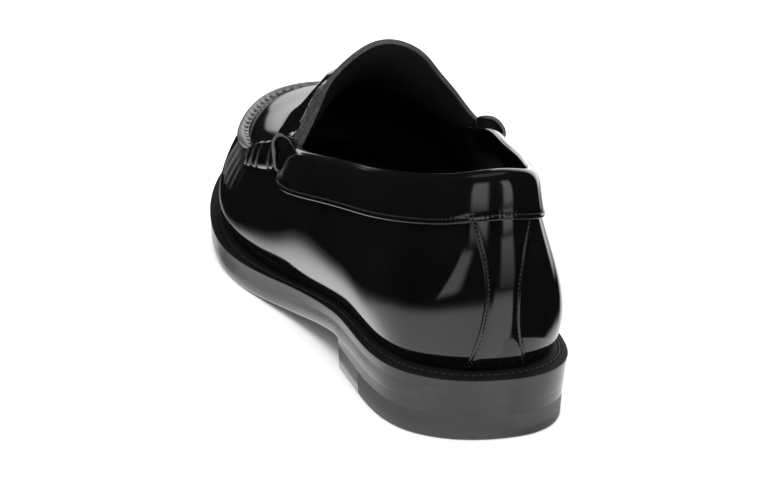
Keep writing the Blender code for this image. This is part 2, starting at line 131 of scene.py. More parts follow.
def unit(vectors):
    return vectors / np.linalg.norm(vectors, axis=-1, keepdims=True)


def bell(x, middle, width):
    return np.exp(-(((x - middle) / width) ** 2))


def soft(x, low, high):
    t = np.clip((x - low) / max(high - low, 1e-6), 0, 1)
    return t * t * (3 - 2 * t)


# Distance run along a line of points, and up each rib of a grid
def runAlong(points):
    return np.concatenate([[0], np.cumsum(np.linalg.norm(np.diff(points, axis=0), axis=1))])


def runUp(grid):
    run = np.cumsum(np.linalg.norm(np.diff(grid, axis=1), axis=2), axis=1)
    return np.insert(run, 0, 0.0, axis=1)


def soleLoop():
    rows = np.array(last["outline"])
    lateral = np.column_stack([-rows[:, 1], rows[:, 0]])
    medial = np.column_stack([rows[:, 2], rows[:, 0]])[::-1]
    points = np.vstack([[(0, 0)], lateral, [(last["toeX"], last["length"])], medial])
    steps = np.linalg.norm(np.roll(points, -1, axis=0) - points, axis=1)
    return points, np.cumsum(steps) - steps, steps.sum()


loopPoints, loopAt, roundLength = soleLoop()
toeRound = loopAt[len(last["outline"]) + 1]


# The sole's edge and its outward direction, at distance s from the heel's back round the lateral side
def outlineAt(s):
    s = np.asarray(s, float)
    ahead = spline(loopAt, loopPoints, s + 0.2, roundLength)
    behind = spline(loopAt, loopPoints, s - 0.2, roundLength)
    along = unit(ahead - behind)
    return spline(loopAt, loopPoints, s, roundLength), np.stack([-along[..., 1], along[..., 0]], -1)


# Distance round the edge where its lateral (-1) or medial (1) side reaches y
def roundAt(y, side):
    s = np.linspace(0 if side < 0 else roundLength, toeRound, 2001)
    return np.interp(y, outlineAt(s)[0][:, 1], s)


def rimZ(y):
    return through(last["rim"], y)


def ribTable():
    rows = [(0.0, *last["heelRib"][1:])]
    for rib in last["lateralRibs"]:
        turned = list(rib[1:])
        turned[3] = -turned[3]
        turned[6] = -turned[6]
        rows.append((roundAt(rib[0], -1), *turned))
    rows.append((toeRound, *last["toeRib"][1:]))
    for rib in reversed(last["medialRibs"]):
        rows.append((roundAt(rib[0], 1), *rib[1:]))
    return np.array(rows, float)


ribs = ribTable()


def weltWidth(s):
    return spline(ribs[:, 0], ribs[:, 1], s, roundLength)


# Outer face of the upper at s round the sole and v up the rib
def upperAt(s, v):
    s, v = np.broadcast_arrays(np.asarray(s, float), np.asarray(v, float))
    row = spline(ribs[:, 0], ribs[:, 1:], s, roundLength)
    edge, normal = outlineAt(s)
    plan = edge - normal * row[..., 0:1]
    low = rimZ(plan[..., 1])[..., None] + last["weltRise"]
    base = np.concatenate([plan, low], -1)
    bulge = np.concatenate([plan + normal * row[..., 1:2], low + row[..., 2:3]], -1)
    top = row[..., 3:6]
    handle = top + row[..., 6:9]
    t = v[..., None]
    w = 1 - t
    return w**3 * base + 3 * w**2 * t * bulge + 3 * w * t**2 * handle + t**3 * top


def frameAt(s, v):
    s = np.asarray(s, float)
    v = np.asarray(v, float)
    up = upperAt(s, np.minimum(v + 0.01, 1)) - upperAt(s, np.maximum(v - 0.01, 0))
    along = upperAt(s + 0.2, v) - upperAt(s - 0.2, v)
    return upperAt(s, v), unit(np.cross(up, along)), unit(up)


# Shares of the ribs at s that lie some lengths up from the welt, or down from the top
def ribShare(s, lengths, fromTop=False):
    v = np.linspace(0, 1, 201)
    run = runUp(upperAt(np.asarray(s, float)[:, None], v[None, :]))
    lengths = np.asarray(lengths, float)
    lengths = np.broadcast_to(lengths, (len(run), lengths.shape[-1]))
    if fromTop:
        lengths = run[:, -1:] - lengths
    return np.array([np.interp(want, row, v) for want, row in zip(lengths, run)])


def frontRounds(baseY, count):
    return np.linspace(roundAt(baseY, -1), roundAt(baseY, 1), count)


def yAt(s):
    return outlineAt(s)[0][:, 1]


def deselect():
    bpy.ops.object.select_all(action="DESELECT")


def activate(piece):
    deselect()
    piece.select_set(True)
    bpy.context.view_layer.objects.active = piece


# A grid is added and bent over points in mm, columns by rows; edges that meet are merged. rowSlots gives
# each row's place in the list of materials, or each face's
def layGrid(name, points, uv=None, rowSlots=None, closed=False, capped=False):
    columns, rows = points.shape[:2]
    deselect()
    bpy.ops.mesh.primitive_grid_add(x_subdivisions=columns - 1, y_subdivisions=rows - 1, size=1)
    piece = bpy.context.object
    piece.name = name
    mesh = piece.data
    mesh.name = name
    flat = np.empty(len(mesh.vertices) * 3, np.float32)
    mesh.vertices.foreach_get("co", flat)
    flat = flat.reshape(-1, 3)
    i = np.rint((flat[:, 0] + 0.5) * (columns - 1)).astype(int)
    j = np.rint((flat[:, 1] + 0.5) * (rows - 1)).astype(int)
    mesh.vertices.foreach_set("co", ((points[i, j] + root) * mm).astype(np.float32).ravel())
    corner = np.empty(len(mesh.loops), np.int32)
    mesh.loops.foreach_get("vertex_index", corner)
    if uv is not None:
        mesh.uv_layers.active.data.foreach_set("uv", uv[i[corner], j[corner]].astype(np.float32).ravel())
    if rowSlots is not None:
        first = np.empty(len(mesh.polygons), np.int32)
        mesh.polygons.foreach_get("loop_start", first)
        row = np.array([j[corner[k : k + 4]].min() for k in first])
        column = np.array([i[corner[k : k + 4]].min() for k in first])
        table = np.broadcast_to(np.array(rowSlots, np.int32), (columns - 1, rows - 1))
        mesh.polygons.foreach_set("material_index", table[column, row].astype(np.int32))
    mesh.update()
    bpy.ops.object.mode_set(mode="EDIT")
    bpy.ops.mesh.select_all(action="SELECT")
    bpy.ops.mesh.remove_doubles(threshold=1e-6)
    if capped:
        bpy.ops.mesh.select_mode(type="EDGE")
        bpy.ops.mesh.select_all(action="DESELECT")
        bpy.ops.mesh.select_non_manifold()
        bpy.ops.mesh.fill_holes(sides=0)
    if closed or capped:
        bpy.ops.mesh.select_all(action="SELECT")
        bpy.ops.mesh.normals_make_consistent(inside=False)
    bpy.ops.object.mode_set(mode="OBJECT")
    return piece


# The wall's inner face and rim take the materials at those places in the list
def thicken(piece, thick, materials, inner=0, rim=0):
    for made in materials:
        piece.data.materials.append(made)
    activate(piece)
    wall = piece.modifiers.new("wall", "SOLIDIFY")
    wall.thickness = thick * mm
    wall.offset = -1
    wall.use_quality_normals = True
    wall.material_offset = inner
    wall.material_offset_rim = rim
    bpy.ops.object.modifier_apply(modifier="wall")


def roundEdges(piece, width, segments=2, angle=50):
    activate(piece)
    edge = piece.modifiers.new("edge", "BEVEL")
    edge.width = width * mm
    edge.segments = segments
    edge.limit_method = "ANGLE"
    edge.angle_limit = math.radians(angle)
    bpy.ops.object.modifier_apply(modifier="edge")


def finishPiece(piece, materials, nodes=(), angle=40):
    if not piece.data.materials:
        for made in materials:
            piece.data.materials.append(made)
    activate(piece)
    bpy.ops.object.shade_smooth_by_angle(angle=math.radians(angle))
    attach(piece, "root")
    if nodes:
        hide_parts(*nodes)
    return piece


def joinAll(pieces, name):
    deselect()
    for piece in pieces:
        piece.select_set(True)
    bpy.context.view_layer.objects.active = pieces[0]
    bpy.ops.object.join()
    pieces[0].name = name
    pieces[0].data.name = name
    return pieces[0]


# Places of stitches along a line, with their directions and normals
def stitchPlaces(line, normal, pitch, clear=0.0):
    run = runAlong(line)
    index = np.arange(len(line))
    at = np.interp(np.arange(clear, run[-1] - clear, pitch), run, index)
    values = (line, np.gradient(line, axis=0), normal)
    return [np.column_stack([np.interp(at, index, column) for column in value.T]) for value in values]


# One bead of thread is modelled and copied to all places
def sewRow(name, places, size, twine):
    points, along, normal = places
    normal = unit(normal)
    along = unit(along - normal * (along * normal).sum(-1, keepdims=True))
    deselect()
    bpy.ops.mesh.primitive_uv_sphere_add(segments=8, ring_count=6, radius=0.5)
    bead = bpy.context.object
    bead.name = name
    bpy.ops.object.mode_set(mode="EDIT")
    bpy.ops.mesh.select_all(action="SELECT")
    bpy.ops.transform.resize(value=(size[0] * mm, size[1] * mm, size[2] * mm))
    bpy.ops.object.mode_set(mode="OBJECT")
    twins = [bead]
    for _ in points[1:]:
        twin = bead.copy()
        twin.data = bead.data.copy()
        bpy.context.collection.objects.link(twin)
        twins.append(twin)
    turn = np.tile(np.eye(4), (len(points), 1, 1))
    turn[:, :3] = np.stack([along, np.cross(normal, along), normal, (points + root) * mm], -1)
    for twin, matrix in zip(twins, turn):
        twin.matrix_world = Matrix(matrix.tolist())
    joinAll(twins, name)
    bpy.ops.object.transform_apply(location=True, rotation=True, scale=True)
    finishPiece(bead, [twine], angle=60)
    print(name + ":", len(points))


# Materials: every finish reads Object coordinates, in metres, or the piece's own UV, in mm
def newMaterial(name, roughness, ior=1.5):
    made = bpy.data.materials.new(name)
    made.use_nodes = True
    shader = made.node_tree.nodes["Principled BSDF"]
    shader.inputs["Roughness"].default_value = roughness
    shader.inputs["IOR"].default_value = ior
    return made, made.node_tree, shader


def addNoise(tree, source, scale, detail=3.0, roughness=0.5, stretch=None):
    coordinate = tree.nodes.new("ShaderNodeTexCoord")
    noise = tree.nodes.new("ShaderNodeTexNoise")
    noise.inputs["Scale"].default_value = scale
    noise.inputs["Detail"].default_value = detail
    noise.inputs["Roughness"].default_value = roughness
    if stretch:
        mapping = tree.nodes.new("ShaderNodeMapping")
        mapping.inputs["Scale"].default_value = stretch
        tree.links.new(coordinate.outputs[source], mapping.inputs["Vector"])
        tree.links.new(mapping.outputs["Vector"], noise.inputs["Vector"])
    else:
        tree.links.new(coordinate.outputs[source], noise.inputs["Vector"])
    return noise


# A noise drives a socket between two greys, given with their places on the ramp
def addRamp(tree, noise, socket, *stops):
    ramp = tree.nodes.new("ShaderNodeValToRGB")
    for element, (place, grey) in zip(ramp.color_ramp.elements, stops):
        element.position = place
        element.color = (grey, grey, grey, 1)
    tree.links.new(noise.outputs["Fac"], ramp.inputs["Fac"])
    tree.links.new(ramp.outputs["Color"], socket)


def addBump(tree, noise, strength, distance, normal=None):
    bump = tree.nodes.new("ShaderNodeBump")
    bump.inputs["Strength"].default_value = strength
    bump.inputs["Distance"].default_value = distance
    tree.links.new(noise.outputs["Fac"], bump.inputs["Height"])
    if normal:
        tree.links.new(normal, bump.inputs["Normal"])
    return bump.outputs["Normal"]


def shineMaterial(name, dark, light, roughLow, roughHigh, grain, wave):
    made, tree, shader = newMaterial(name, roughLow)
    cloud = addNoise(tree, "Object", 45.0, 4.0)
    addRamp(tree, cloud, shader.inputs["Base Color"], (0.3, dark), (0.75, light))
    rub = addNoise(tree, "Object", 160.0, 5.0, 0.6)
    addRamp(tree, rub, shader.inputs["Roughness"], (0.3, roughLow), (0.75, roughHigh))
    slow = addNoise(tree, "Object", 70.0, 1.0)
    fine = addNoise(tree, "Object", 1500.0, 2.0)
    first = addBump(tree, slow, wave, 0.001)
    tree.links.new(addBump(tree, fine, grain, 0.0002, first), shader.inputs["Normal"])
    return made


def roughMaterial(name, dark, light, rough, scale, strength, distance, ior=1.5):
    made, tree, shader = newMaterial(name, rough, ior)
    fibre = addNoise(tree, "Object", scale, 6.0, 0.65)
    addRamp(tree, fibre, shader.inputs["Base Color"], (0.3, dark), (0.72, light))
    addRamp(tree, fibre, shader.inputs["Roughness"], (0.25, rough - 0.08), (0.75, rough + 0.1))
    tree.links.new(addBump(tree, fibre, strength, distance), shader.inputs["Normal"])
    return made


# The built edge of sole and heel: thin layers along the UV's second axis, in mm
def layerMaterial(name, dark, light, rough, layer):
    made, tree, shader = newMaterial(name, rough, 1.42)
    lines = addNoise(tree, "UV", 1.0, 4.0, 0.6, (0.03, layer, 1.0))
    blotch = addNoise(tree, "UV", 1.0, 3.0, 0.5, (0.05, 0.12, 1.0))
    addRamp(tree, blotch, shader.inputs["Base Color"], (0.3, dark), (0.75, light))
    addRamp(tree, lines, shader.inputs["Roughness"], (0.3, rough - 0.03), (0.75, rough + 0.06))
    fibre = addNoise(tree, "Object", 900.0, 3.0)
    first = addBump(tree, fibre, 0.06, 0.0003)
    tree.links.new(addBump(tree, lines, 0.05, 0.0004, first), shader.inputs["Normal"])
    return made


leather = shineMaterial("polished_leather", 0.0015, 0.003, 0.055, 0.085, 0.012, 0.02)
bandLeather = shineMaterial("band_leather", 0.0015, 0.003, 0.07, 0.11, 0.02, 0.03)
satin = roughMaterial("edge_dressing", 0.055, 0.1, 0.36, 420.0, 0.1, 0.0002)
cutEdge = roughMaterial("cut_edge", 0.005, 0.06, 0.6, 1100.0, 0.5, 0.0004)
lining = roughMaterial("lining_leather", 0.01, 0.022, 0.62, 1100.0, 0.15, 0.0002)
thread = roughMaterial("waxed_thread", 0.006, 0.02, 0.42, 2600.0, 0.3, 0.0002)
wrapThread = roughMaterial("wrap_thread", 0.003, 0.01, 0.4, 2600.0, 0.3, 0.0002, ior=1.35)
weltThread = roughMaterial("welt_thread", 0.008, 0.025, 0.45, 2600.0, 0.3, 0.0002)
weltTop = roughMaterial("welt_top", 0.003, 0.008, 0.7, 900.0, 0.2, 0.0003, ior=1.25)
soleEdge = layerMaterial("sole_edge", 0.018, 0.03, 0.17, 2.2)
treadLeather = roughMaterial("tread_leather", 0.02, 0.045, 0.55, 500.0, 0.25, 0.0004)
rubber = roughMaterial("lift_rubber", 0.026, 0.04, 0.5, 1300.0, 0.2, 0.0002)
print("materials ready")

# Rolled strap ends, named here because the upper's pleats start under them
rolls = {
    "length": 50.0,
    # distance from the mouth, half-height up the side and how far it stands out
    "shape": [
        (0, 6.6, 5.6), (6, 6.4, 5.3), (14, 6.3, 5.1), (28, 6, 4.8), (38, 5.6, 4.4),
        (46, 4.3, 3.4), (50, 3, 2.2),
    ],
    # its mouths: up the side and out, by eighths of a turn from the top over the outside
    "mouth": {
        -1: [(6.4, 5.2), (4.9, 7.2), (1.9, 7.1), (-2.5, 4.5), (-6.9, 0.7), (-3.5, -0.5), (0.8, -0.7),
             (4.6, 0.3)],
        1: [(9.2, 1.4), (6.2, 6.2), (0.6, 8.5), (-4, 6.4), (-7.2, 0.8), (-4, -0.5), (1.6, -0.7),
            (8.2, -2)],
    },
    # its body, in shares of half-height and height
    "body": [
        (0.96, 0.68), (0.85, 0.94), (0.5, 1), (-0.15, 0.74), (-1, 0.1), (-0.62, 0.02), (0.14, 0.02),
        (0.7, 0.2),
    ],
    "mouthRun": 12.0,  # over this length the mouth passes into the body
    "startY": {-1: 147.0, 1: 145.0},
    # distance from the mouth, rise up the rib on the lateral and on the medial side
    "rise": [
        (0, 45.8, 47.8), (14, 44.3, 46), (28, 42, 43.4), (38, 40, 41.2),
        (46, 36.6, 37.8), (50, 34.5, 35.7),
    ],
    "gap": 0.2,
    "wall": 1.3,
    "boreDepth": 5.0,
    # the bore from its bottom out to the rim: shares of its depth, of the ring and of the wall
    "bore": [
        (1, 0, 0), (0.98, 0.5, 1), (0.6, 0.9, 1), (0.3, 0.98, 1), (0.08, 1, 1), (0.01, 1, 0.98),
        (0, 1, 0.8),
    ],
    # the rim's outer corner: distance from the mouth, share of the wall
    "lip": [(0, 0.25), (0.08, 0.08), (0.3, 0.02), (0.7, 0)],
    "tip": (2.5, 0.35),  # over this length its end narrows by this share
    "wraps": [16.5, 31.0, 38.5, 44.6],  # distances of the double threads from the mouth
    "wrapDepth": 0.2,
    "wrapHalf": 1.0,
    "foldDepth": 0.035,  # of the folds between the threads, as a share
    "threadThick": 0.95,
    "threadApart": 0.84,
    "around": 64,
    "rows": 130,
}

upperLeather = {
    "columns": 520,
    "rows": 58,
    "wall": 2.0,
    "wave": 0.05,  # slow unevenness of the leather
    # pleats under a roll: distance forward of its mouth, half-width, depth
    "pleats": [(46.0, 3.2, 0.2), (53.5, 3.7, 0.4), (61.5, 4.2, 0.5), (70.5, 4.6, 0.42)],
    "pleatTop": 31.0,  # up the rib from the welt
    "pleatLean": -0.2,
    "pleatFade": (8.0, 25.0, 27.0, 33.0),  # they come in between the first two lengths, go between the last
    "swell": (212.0, 26.0, 2.0),  # fuller on the lateral side at this y, over this length, by
    "swellFade": (0.0, 7.0, 5.0, 28.0),
}


# Comes in between the first two lengths and goes between the last two
def comeAndGo(run, ends):
    return soft(run, ends[0], ends[1]) * (1 - soft(run, ends[2], ends[3]))


def makeUpper():
    spec = upperLeather
    s = np.linspace(roundLength, 0, spec["columns"] + 1)
    v = np.linspace(0, 1, spec["rows"] + 1)
    point, normal, _ = frameAt(s[:, None], v[None, :])
    run = runUp(point)
    around = s[:, None]
    turn = around / roundLength * 2 * np.pi
    relief = np.sin(turn * 9 + run / 9) + np.sin(turn * 14 - run / 7 + 1.3)
    relief = (relief + np.sin(turn * 5 + run / 13 + 2.1)) * spec["wave"] / 2
    for side in (-1, 1):
        mouth = roundAt(rolls["startY"][side], side)
        for along, half, depth in spec["pleats"]:
            middle = mouth - side * (along + (spec["pleatTop"] - run) * spec["pleatLean"])
            trough = bell(around, middle, half) - 0.4 * bell(around, middle, 2 * half)
            relief = relief - depth * comeAndGo(run, spec["pleatFade"]) * trough
    at, half, full = spec["swell"]
    relief = relief + full * bell(around, roundAt(at, -1), half) * comeAndGo(run, spec["swellFade"])
    points = point + normal * relief[..., None]
    points[-1] = points[0]
    piece = layGrid("upper_leather", points)
    thicken(piece, spec["wall"], [leather, lining], 1, 1)
    finishPiece(piece, [], ["upper"], 60)
    print("upper:", len(piece.data.polygons), "faces")


# The band is folded over the topline: a hairpin section swept round the collar
collarBand = {
    "columns": 900,
    "frontY": 148.0,
    "slant": (2.5, 0.16),  # over this length its front edge runs up by this share of its width
    "thinEnd": (14.0, 0.6),  # over this length towards its front ends it thins to this share
    "stitchDrop": 13.9,  # below the topline
    "stitchHigh": 1.12,
    "stitchClear": 7.0,  # of the front ends
    "stitchPitch": 1.55,
    "stitch": (1.15, 0.42, 0.36),
    "pucker": 0.03,
    # distance below the topline and height over the upper's outer face
    "outside": [
        (15.5, -0.15), (15.6, 0.3), (15.6, 0.8), (15.5, 1.02), (15.3, 1.12), (14.6, 1.17), (14.2, 1.11),
        (13.8, 1.11), (13.45, 1.2), (12.9, 1.28), (12, 1.34), (10, 1.45), (7.5, 1.55), (5.6, 1.6),
        (4.2, 1.56), (3, 1.4), (2, 1.15), (1.2, 0.83),
    ],
    "fold": [
        (0.55, 0.45), (0, 0.02), (-0.42, -0.45), (-0.74, -0.95), (-0.95, -1.5), (-1.02, -2.05),
        (-0.92, -2.55), (-0.62, -2.98), (-0.15, -3.25), (0.6, -3.4),
    ],
    "inside": [(2.0, -3.45), (4.0, -3.4), (7.0, -3.15), (9.0, -2.85), (9.6, -2.5), (9.7, -1.9)],
    "under": [(4.0, -1.8), (0.4, -1.8), (0.1, -1.5), (0.1, -0.6), (0.4, -0.2), (6.0, -0.2), (12.0, -0.2)],
}


def bandPoints(s, section, share, thin=1.0):
    thin = np.broadcast_to(thin, len(s))[:, None]
    drop = section[:, 0][None, :] * np.where(section[:, 0] > 0, share[:, None], thin)
    v = ribShare(s, np.maximum(drop, 0), True)
    point, normal, up = frameAt(s[:, None], v)
    high = section[:, 1][None, :] * np.where(section[:, 1] > 0, thin, 1.0)
    return point + normal * high[..., None] + up * np.maximum(-drop, 0)[..., None], normal


def makeCollarBand():
    spec = collarBand
    front = roundAt(spec["frontY"], -1)
    back = roundAt(spec["frontY"], 1) - roundLength
    s = np.linspace(back, front, spec["columns"] + 1)
    section = np.array(spec["outside"] + spec["fold"] + spec["inside"] + spec["under"])
    section = np.vstack([section, section[:1]])
    toEnd = np.minimum(s - back, front - s)
    over, rise = spec["slant"]
    share = 1 - rise * np.clip(1 - toEnd / over, 0, 1)
    length, least = spec["thinEnd"]
    points, normal = bandPoints(s, section, share, least + (1 - least) * soft(toEnd, 0, length))
    run = runAlong(points[:, 0])
    near = bell(section[:, 0], spec["stitchDrop"], 0.8) * (section[:, 1] > 0.5)
    pull = np.cos(run * 2 * np.pi / spec["stitchPitch"])
    points = points + normal * (spec["pucker"] * pull[:, None] * near[None, :])[..., None]
    piece = layGrid("collar_band_leather", points, capped=True)
    finishPiece(piece, [bandLeather], ["collar_band"], 60)
    inner = s[toEnd > spec["stitchClear"]]
    line = np.array([(spec["stitchDrop"], spec["stitchHigh"])])
    sewn, normal = bandPoints(inner, line, np.ones(len(inner)))
    places = stitchPlaces(sewn[:, 0], normal[:, 0], spec["stitchPitch"])
    sewRow("band_stitches", places, spec["stitch"], thread)


backStrip = {
    # height, then the half-width round to the lateral and to the medial side
    "shape": [
        (22, 12, 14.2), (28, 9.7, 11.4), (33.6, 8.1, 9.2), (40, 6.9, 7.8), (47, 6.4, 7.6),
        (54, 6.7, 8.2), (60.6, 8.1, 9.8), (67.5, 10.8, 12.3), (72.2, 13, 14.9), (76, 15.1, 17.4),
    ],
    "rows": 90,
    "middle": 12,
    "foot": 0.005,
    "under": 13.5,  # its top runs on under the band, this far below the topline
    # distance in from the strip's edge and height over the upper
    "edge": [(0.0, 0.02), (0.12, 0.3), (0.35, 0.52), (0.7, 0.6), (1.1, 0.48), (1.5, 0.28), (1.9, 0.46),
             (2.5, 0.58), (3.4, 0.6)],
    "thick": 0.5,
    "stitchIn": 1.5,  # from the strip's edge
    "stitchHigh": 0.34,
    "stitchPitch": 1.55,
    "stitch": (1.0, 0.62, 0.5),
}


def makeBackStrip():
    spec = backStrip
    edge = np.array(spec["edge"])
    inward = edge[-1, 0]
    under = np.array([spec["under"]])
    top = float(ribShare(np.array([0.0]), under, True)[0, 0])
    grid = []
    for v in np.linspace(spec["foot"], top, spec["rows"]):
        lateral, medial = through(spec["shape"], upperAt(0.0, v)[2])
        middle = np.linspace(lateral - inward, inward - medial, spec["middle"] + 2)[1:-1]
        s = np.concatenate([lateral - edge[:, 0], middle, (edge[:, 0] - medial)[::-1]])
        height = np.concatenate([edge[:, 1], np.full(spec["middle"], edge[-1, 1]), edge[::-1, 1]])
        limit = ribShare(s, under, True)[:, 0]
        point, normal, _ = frameAt(s, v * limit / top)
        grid.append(point + normal * height[:, None])
    piece = layGrid("back_strip_leather", np.swapaxes(np.array(grid), 0, 1))
    thicken(piece, spec["thick"], [leather])
    finishPiece(piece, [], ["back_strip"], 60)
    lines = []
    for k, side in enumerate((1, -1)):
        line, out = [], []
        for v in np.linspace(0.02, top, 120):
            half = through(spec["shape"], upperAt(0.0, v)[2])[k] - spec["stitchIn"]
            limit = ribShare(np.array([side * half]), under, True)[0, 0]
            point, normal, _ = frameAt(side * half, v * limit / top)
            line.append(point + normal * spec["stitchHigh"])
            out.append(normal)
        lines.append(stitchPlaces(np.array(line), np.array(out), spec["stitchPitch"], 0.5))
    places = [np.vstack(pair) for pair in zip(*lines)]
    sewRow("strip_stitches", places, spec["stitch"], thread)


# The raised seam round the apron: a smooth rim outside, pleats between the stitches inside; the slots' faces
# are painted dark with the lining material as painted shade
apronSeam = {
    # base y, rise up the rib
    "rows": [
        (203, 40.5), (211, 37.4), (218, 35.9), (225, 35.2), (234, 35.3), (250, 36.7),
        (287, 38.7),
    ],
    "columns": 1100,
    "pitch": 4.3,
    "slot": (0.12, 0.3),  # shares of the pitch, from a slot's middle, where its side starts and ends
    # distance up the rib, height, and how much of it a stitch pulls down
    "section": [
        (-3.3, -0.4, 0), (-3.1, 0.25, 0), (-2.8, 1, 0), (-2.45, 1.75, 0), (-2.05, 2.35, 0),
        (-1.55, 2.75, 0), (-1, 2.95, 0), (-0.4, 3, 0), (0.15, 2.95, 0), (0.6, 2.75, 0),
        (0.9, 2.45, 0.1), (1.05, 2.1, 0.5), (1.2, 1.7, 1), (1.45, 1.25, 1), (1.75, 0.8, 1),
        (2, 0.35, 0.4), (2.15, -0.1, 0), (-0.4, -0.5, 0),
    ],
    "pullDepth": 0.75,
    "paintedShadeRows": (11, 14),  # rows of the section that the slots cut into, where the slot faces take the dark lining as painted shade; leather from there on
    "endFade": 15.0,  # over this length its ends sink into the upper
    "endSize": (0.3, 0.25, 0.3),  # shares of width and height left there, and how deep it sinks
}


def makeApronSeam():
    spec = apronSeam
    s = frontRounds(spec["rows"][0][0], spec["columns"])
    v = ribShare(s, through(spec["rows"], yAt(s))[:, None])[:, 0]
    point, normal, up = frameAt(s, v)
    run = runAlong(point)
    phase = np.mod(run / spec["pitch"], 1.0)
    pull = 1 - soft(np.abs(phase - 0.5), *spec["slot"])
    section = np.array(spec["section"])
    section = np.vstack([section, section[:1]])
    high = section[None, :, 1] * (1 - spec["pullDepth"] * section[None, :, 2] * pull[:, None])
    fade = soft(np.minimum(run, run[-1] - run), 0, spec["endFade"])[:, None]
    wide, tall, sunk = spec["endSize"]
    high = high * (tall + (1 - tall) * fade) - sunk * (1 - fade)
    outer = section[0, 0]
    across = outer + (section[None, :, 0] - outer) * (wide + (1 - wide) * fade)
    points = point[:, None] + up[:, None] * across[..., None] + normal[:, None] * high[..., None]
    slots = np.zeros((len(s) - 1, len(section) - 1), int)
    first, end = spec["paintedShadeRows"]
    # painted shade: the pulled-down faces of each slot take the dark lining material
    slots[:, first:end] = (pull[1:] > 0.55)[:, None]
    slots[:, end:] = 2
    piece = layGrid("apron_seam_ridge", points, rowSlots=slots, capped=True)
    finishPiece(piece, [satin, lining, leather], ["apron_seam"], 60)
    print("apron seam:", int(run[-1] / spec["pitch"]), "stitches")


tongueShape = {
    "startY": 152.0,
    "edge": [
        (-33.9, 144.5, 59.3), (-30.1, 146, 66.2), (-26.7, 147, 73.2), (-23.5, 147.3, 80.5),
        (-22.2, 147.4, 82.6), (-18.4, 147.5, 87), (-12.1, 147.5, 92.3), (-6.2, 147.5, 95.4),
        (0.4, 147.5, 96.2), (7.4, 147.5, 94.2), (13.1, 147.3, 90.5), (18.6, 147, 84),
        (25.6, 146.8, 75.6), (29, 146.5, 71), (31.4, 146.2, 68), (33.8, 145.6, 65.4),
    ],
    "columns": 150,
    "rows": 36,
    "thick": 2.0,
    "sag": 0.06,  # share of its length by which it hollows between throat and edge
    "edgeRound": 0.5,
}


# For ribs at s: where the tongue starts, the way to its edge, and which way it hollows
def tongueLines(s):
    spec = tongueShape
    corners = np.array(spec["edge"])
    at = runAlong(corners)
    ends = frontRounds(spec["startY"], 2)
    edge = spline(at, corners, np.clip((s - ends[0]) / (ends[1] - ends[0]), 0, 1) * at[-1])
    throat, normal, up = frameAt(s, np.ones(len(s)))
    start = throat - up * 0.3
    way = edge - start
    return start, way, -normal * (np.linalg.norm(way, axis=1) * spec["sag"])[:, None]


def makeTongue():
    spec = tongueShape
    s = frontRounds(spec["startY"], spec["columns"] + 1)
    start, way, hollow = tongueLines(s)
    share = np.linspace(0, 1, spec["rows"] + 1)
    points = start[:, None] + way[:, None] * share[None, :, None]
    points = points + hollow[:, None] * (4 * share * (1 - share))[None, :, None]
    piece = layGrid("tongue_leather", points[::-1])
    thicken(piece, spec["thick"], [leather, lining, cutEdge], 1, 2)
    roundEdges(piece, spec["edgeRound"])
    finishPiece(piece, [], ["tongue"], 50)
    print("tongue done")


saddleStrap = {
    "startY": 155.5,
    # base y of the rib, then how far the front edge lies below the throat
    "front": [
        (153, 8), (157, 9.5), (160, 10.8), (164, 11), (171, 9.6), (177, 8.6), (189, 8),
        (192.6, 7.6), (193.6, 4.9), (202, 3.5), (215, 2.6), (227, 3), (239, 4.5), (251, 7),
        (287, 9),
    ],
    # and how far up the tongue the back edge may lie
    "back": [
        (160, 40), (221, 33), (227, 30), (233, 23), (239, 15), (245, 13.5),
        (262, 14.5), (287, 16),
    ],
    "topShare": 0.97,  # of the tongue's length, which the back edge stays under
    "medialLower": 0.45,  # share by which the medial back edge lies lower
    "columns": 300,
    "rows": 26,
    # lengths up the tongue (down the upper below zero) that the instep's curve passes through
    "knots": (-24, -16, -10, -5, -2, 4, 9, 15, 22, 30, 46),
    "height": (4.7, 2.2),  # over the instep at its front and back edge
    "crest": 0.2,
    "flatEnds": (160.0, 177.0, 0.3),  # between these y its rise over the back edge grows from this share
    "turned": [(-1.0, 0.3), (-0.95, 1.8), (-0.7, 3.2), (-0.35, 4.1)],  # its front edge is turned down
    "thick": 2.4,
    "edgeRound": 0.3,
}


# The instep's face at s, at lengths a up the tongue from the throat or, below zero, down the upper
def instepFace(s, a):
    start, way, hollow = tongueLines(s)
    long = np.linalg.norm(way, axis=1)
    knots = np.array(saddleStrap["knots"], float)
    below = upperAt(s[:, None], ribShare(s, np.maximum(-knots, 0), True))
    share = np.maximum(knots, 0)[None, :] / long[:, None]
    bend = np.clip(share, 0, 1)
    above = start[:, None] + way[:, None] * share[..., None]
    above = above + hollow[:, None] * (4 * bend * (1 - bend))[..., None]
    lines = np.where((knots < 0)[None, :, None], below, above)
    return np.stack([spline(knots, line, row) for line, row in zip(lines, a)])


